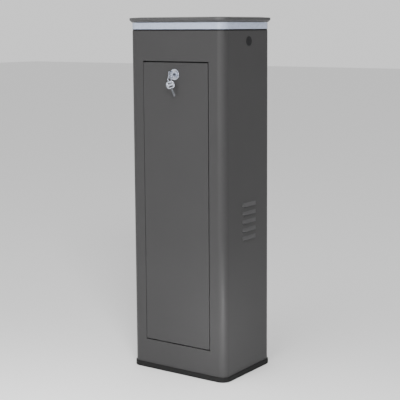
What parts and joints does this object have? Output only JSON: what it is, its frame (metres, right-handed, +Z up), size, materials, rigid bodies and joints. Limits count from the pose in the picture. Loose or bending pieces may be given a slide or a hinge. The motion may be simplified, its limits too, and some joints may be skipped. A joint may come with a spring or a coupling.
{
  "type": "parking barrier cabinet",
  "caption": "Upright parking barrier cabinet with lift-out locked door, light strip, lift-off lid, side louvres, and an internal spring-balanced worm drive ending in a rear boom flange.",
  "frame": {"origin": "centre of the anchor bolt pattern, on the ground under the base plate", "axes": "+X to the right along the door face, -Y out of the door, +Z up"},
  "size_m": [0.336, 0.323, 1],
  "materials": {
    "body_paint": "fine speckled powder coat",
    "zinc_steel": "bright zinc",
    "bright_steel": "machined",
    "cast_iron": "painted casting",
    "cast_alloy": "cast",
    "black_rubber": "matt",
    "black_plastic": "matt",
    "light_diffuser": "satin diffuser",
    "chrome": "polished",
    "bronze": "machined bronze",
    "spring_steel": "black oiled",
    "grey_plastic": "satin",
    "board": "green board",
    "iron_core": "laminated"
  },
  "bodies": {
    "cabinet": {"cabinet_shell": "body_paint", "base_skirt": "black_rubber", "base_plate": "zinc_steel", "top_frame": "black_plastic", "light_band": "light_diffuser", "door_frame": "body_paint", "door_seal": "black_rubber", "side_plugs": "black_plastic", "chassis_plate": "zinc_steel", "chassis_spacers": "zinc_steel", "shaft_shelf": "zinc_steel", "bearing_housings": "cast_iron", "bearing_inserts": "bright_steel", "bearing_bolts": "zinc_steel", "gearbox_housing": "cast_alloy", "gearbox_cover": "cast_alloy", "gearbox_bolts": "zinc_steel", "output_bearings": "bright_steel", "worm_bearings": "bright_steel", "motor_body": "cast_alloy", "stop_buffers": "black_rubber", "spring_bracket": "zinc_steel", "spring_eyebolt": "zinc_steel", "eyebolt_nuts": "zinc_steel", "switch_bracket": "zinc_steel", "limit_switches": "black_plastic", "control_case": "grey_plastic", "control_cover": "grey_plastic", "circuit_board": "board", "terminal_rail": "zinc_steel", "terminal_blocks": "grey_plastic", "transformer": "iron_core", "shaft_seal": "black_rubber"},
    "boom_drive": {"boom_shaft": "bright_steel", "boom_hub": "cast_iron", "hub_bolt": "zinc_steel", "drive_lever": "cast_iron", "spring_lever": "cast_iron", "drive_pin": "bright_steel", "spring_pin": "bright_steel", "limit_cams": "black_plastic"},
    "gear_output": {"output_shaft": "bright_steel", "worm_wheel": "bronze", "crank_arm": "cast_iron"},
    "link": {"link_rod": "zinc_steel", "rod_ends": "bright_steel"},
    "spring_top": {"spring_upper_fork": "zinc_steel"},
    "spring_foot": {"spring_lower_fork": "zinc_steel", "balance_spring": "spring_steel"},
    "worm": {"worm_shaft": "bright_steel", "motor_rotor": "iron_core"},
    "door": {"door_panel": "body_paint", "door_tongues": "body_paint", "lock_housing": "chrome"},
    "lock": {"lock_plug": "chrome", "lock_cam": "zinc_steel", "lock_key": "chrome"},
    "keys": {"key_ring": "chrome", "hanging_key": "chrome"},
    "lid_body": {"lid": "body_paint"}
  },
  "joints": [
    {"name": "boom_shaft_turn", "type": "hinge", "parent": "cabinet", "child": "boom_drive", "pos_m": [0, 0, 0.838], "axis": [0, 1, 0], "range_deg": [0, 90]},
    {"name": "gear_output_turn", "type": "hinge", "parent": "cabinet", "child": "gear_output", "pos_m": [0, 0.062, 0.588], "axis": [0, 1, 0], "range_deg": [0, 90]},
    {"name": "link_swing", "type": "hinge", "parent": "gear_output", "child": "link", "pos_m": [-0.04243, 0.008, 0.54557], "axis": [0, 1, 0], "range_deg": [-90, 0]},
    {"name": "worm_spin", "type": "hinge", "parent": "cabinet", "child": "worm", "pos_m": [0.05, 0.062, 0.588], "axis": [0, 0, 1], "range_deg": [0, 3600]},
    {"name": "spring_foot_tilt", "type": "hinge", "parent": "cabinet", "child": "spring_foot", "pos_m": [0.035, -0.014, 0.278], "axis": [0, 1, 0], "range_deg": [-7.66, 0], "deforming": ["balance_spring"]},
    {"name": "spring_top_tilt", "type": "hinge", "parent": "boom_drive", "child": "spring_top", "pos_m": [0.07, -0.014, 0.838], "axis": [0, 1, 0], "range_deg": [-97.66, 0]},
    {"name": "door_tilt", "type": "hinge", "parent": "cabinet", "child": "door", "pos_m": [-0.00165, -0.118, 0.0862], "axis": [1, 0, 0], "range_deg": [0, 40]},
    {"name": "lock_turn", "type": "hinge", "parent": "door", "child": "lock", "pos_m": [-0.00165, -0.118, 0.8445], "axis": [0, 1, 0], "range_deg": [0, 90]},
    {"name": "key_ring_swing", "type": "hinge", "parent": "lock", "child": "keys", "pos_m": [-0.00315, -0.1396, 0.8425], "axis": [-0.8829, 0.4695, 0], "range_deg": [0, 45]},
    {"name": "lid_lift", "type": "slide", "parent": "cabinet", "child": "lid_body", "axis": [0, 0, 1], "range_m": [0, 0.12]}
  ],
  "couplings": [
    {"joint": "gear_output_turn", "follows": "boom_shaft_turn", "ratio": 1},
    {"joint": "link_swing", "follows": "boom_shaft_turn", "ratio": -1},
    {"joint": "worm_spin", "follows": "boom_shaft_turn", "ratio": 40},
    {"joint": "spring_foot_tilt", "follows": "boom_shaft_turn", "ratio": -0.085133},
    {"joint": "spring_top_tilt", "follows": "boom_shaft_turn", "ratio": -1.0851}
  ]
}
